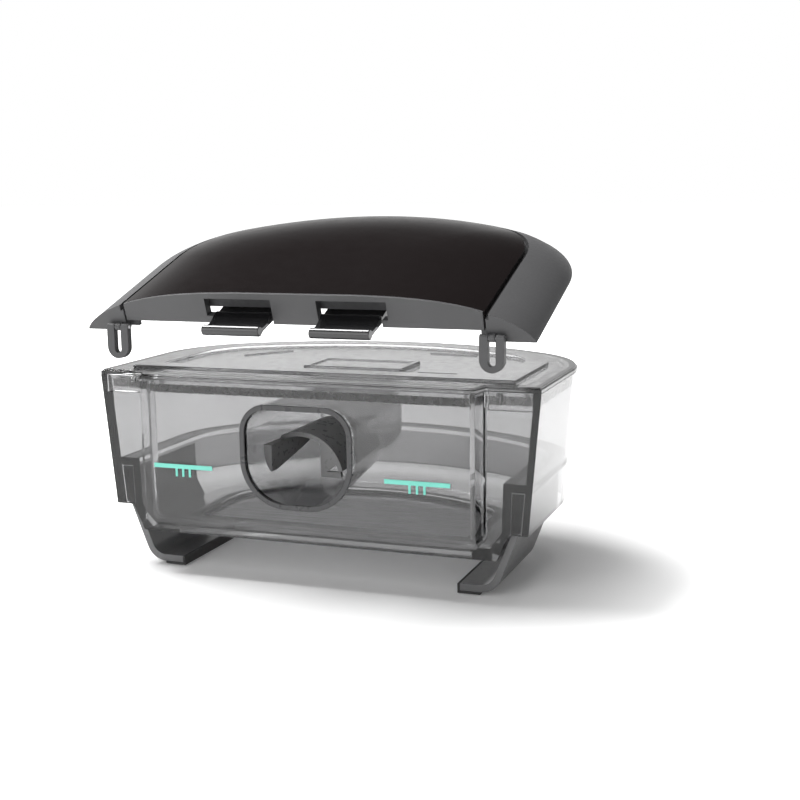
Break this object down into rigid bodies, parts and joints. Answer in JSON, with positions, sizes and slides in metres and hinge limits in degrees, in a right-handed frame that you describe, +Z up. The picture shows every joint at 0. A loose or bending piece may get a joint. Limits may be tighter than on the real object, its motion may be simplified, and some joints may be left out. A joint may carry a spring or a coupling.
{
  "type": "humidifier water tub",
  "caption": "Clear D-shaped water tub of a bedside breathing-air humidifier, with air port, lid, railed feet and a lifted cover that tilts, with two latch tongues.",
  "frame": {"origin": "middle of the footprint in the rest pose, on the surface that the feet stand on", "axes": "+Z up, -Y towards the front with the air port, +X to the right seen from the front"},
  "size_m": [0.138, 0.0992, 0.1042],
  "materials": {
    "clear_smoke": "clear smoky moulded plastic, polished",
    "dark_smoke": "darker smoky moulded plastic, polished",
    "divider_grey": "dark grey moulded plastic",
    "ring_grey": "dark grey moulded ring",
    "satin_grey": "satin mid-grey moulded plastic",
    "gloss_black": "glossy brown-black moulded plastic",
    "liner_black": "matt dark moulded plastic",
    "latch_black": "glossy black moulded plastic",
    "steel_plate": "brushed stainless steel",
    "steel_pin": "drawn steel wire",
    "shoe_rubber": "black rubber",
    "seal_rubber": "dark silicone rubber",
    "rail_grey": "mid-grey moulded plastic, half gloss",
    "seal_clear": "translucent grey silicone",
    "mark_teal": "printed teal ink"
  },
  "bodies": {
    "tub": {"tub_base": "clear_smoke", "port_ring": "ring_grey", "air_tunnel": "dark_smoke", "flow_divider": "divider_grey", "heater_plate": "steel_plate", "plate_seal": "seal_rubber", "left_rail": "rail_grey", "right_rail": "rail_grey", "left_foot_shoe": "shoe_rubber", "right_foot_shoe": "shoe_rubber", "left_level_mark": "mark_teal", "right_level_mark": "mark_teal"},
    "lid": {"tank_lid": "clear_smoke", "lid_seal": "seal_clear"},
    "loops": {"left_snap_loop": "satin_grey", "right_snap_loop": "satin_grey", "left_loop_pin": "steel_pin", "right_loop_pin": "steel_pin"},
    "cover": {"cover_rim": "satin_grey", "cover_front_band": "satin_grey", "cover_panel": "gloss_black", "cover_liner": "liner_black", "left_latch_pin": "steel_pin", "right_latch_pin": "steel_pin"},
    "left_latch": {"left_latch_tongue": "latch_black"},
    "right_latch": {"right_latch_tongue": "latch_black"}
  },
  "joints": [
    {"name": "lid_lift", "type": "slide", "parent": "tub", "child": "lid", "axis": [0, 0, 1], "range_m": [0, 0.06]},
    {"name": "cover_lift", "type": "slide", "parent": "lid", "child": "loops", "axis": [0, -0.4047, 0.9144], "range_m": [-0.01334, 0.06]},
    {"name": "cover_tilt", "type": "hinge", "parent": "loops", "child": "cover", "pos_m": [0, -0.04118, 0.0744], "axis": [1, 0, 0], "range_deg": [-19, 8]},
    {"name": "left_latch_press", "type": "hinge", "parent": "cover", "child": "left_latch", "pos_m": [-0.0165, -0.02812, 0.08207], "axis": [1, 0, 0], "range_deg": [0, 3.5], "stiffness_Nm_per_rad": 0.8, "springref_deg": -1.72},
    {"name": "right_latch_press", "type": "hinge", "parent": "cover", "child": "right_latch", "pos_m": [0.0165, -0.02812, 0.08207], "axis": [1, 0, 0], "range_deg": [0, 3.5], "stiffness_Nm_per_rad": 0.8, "springref_deg": -1.72}
  ]
}
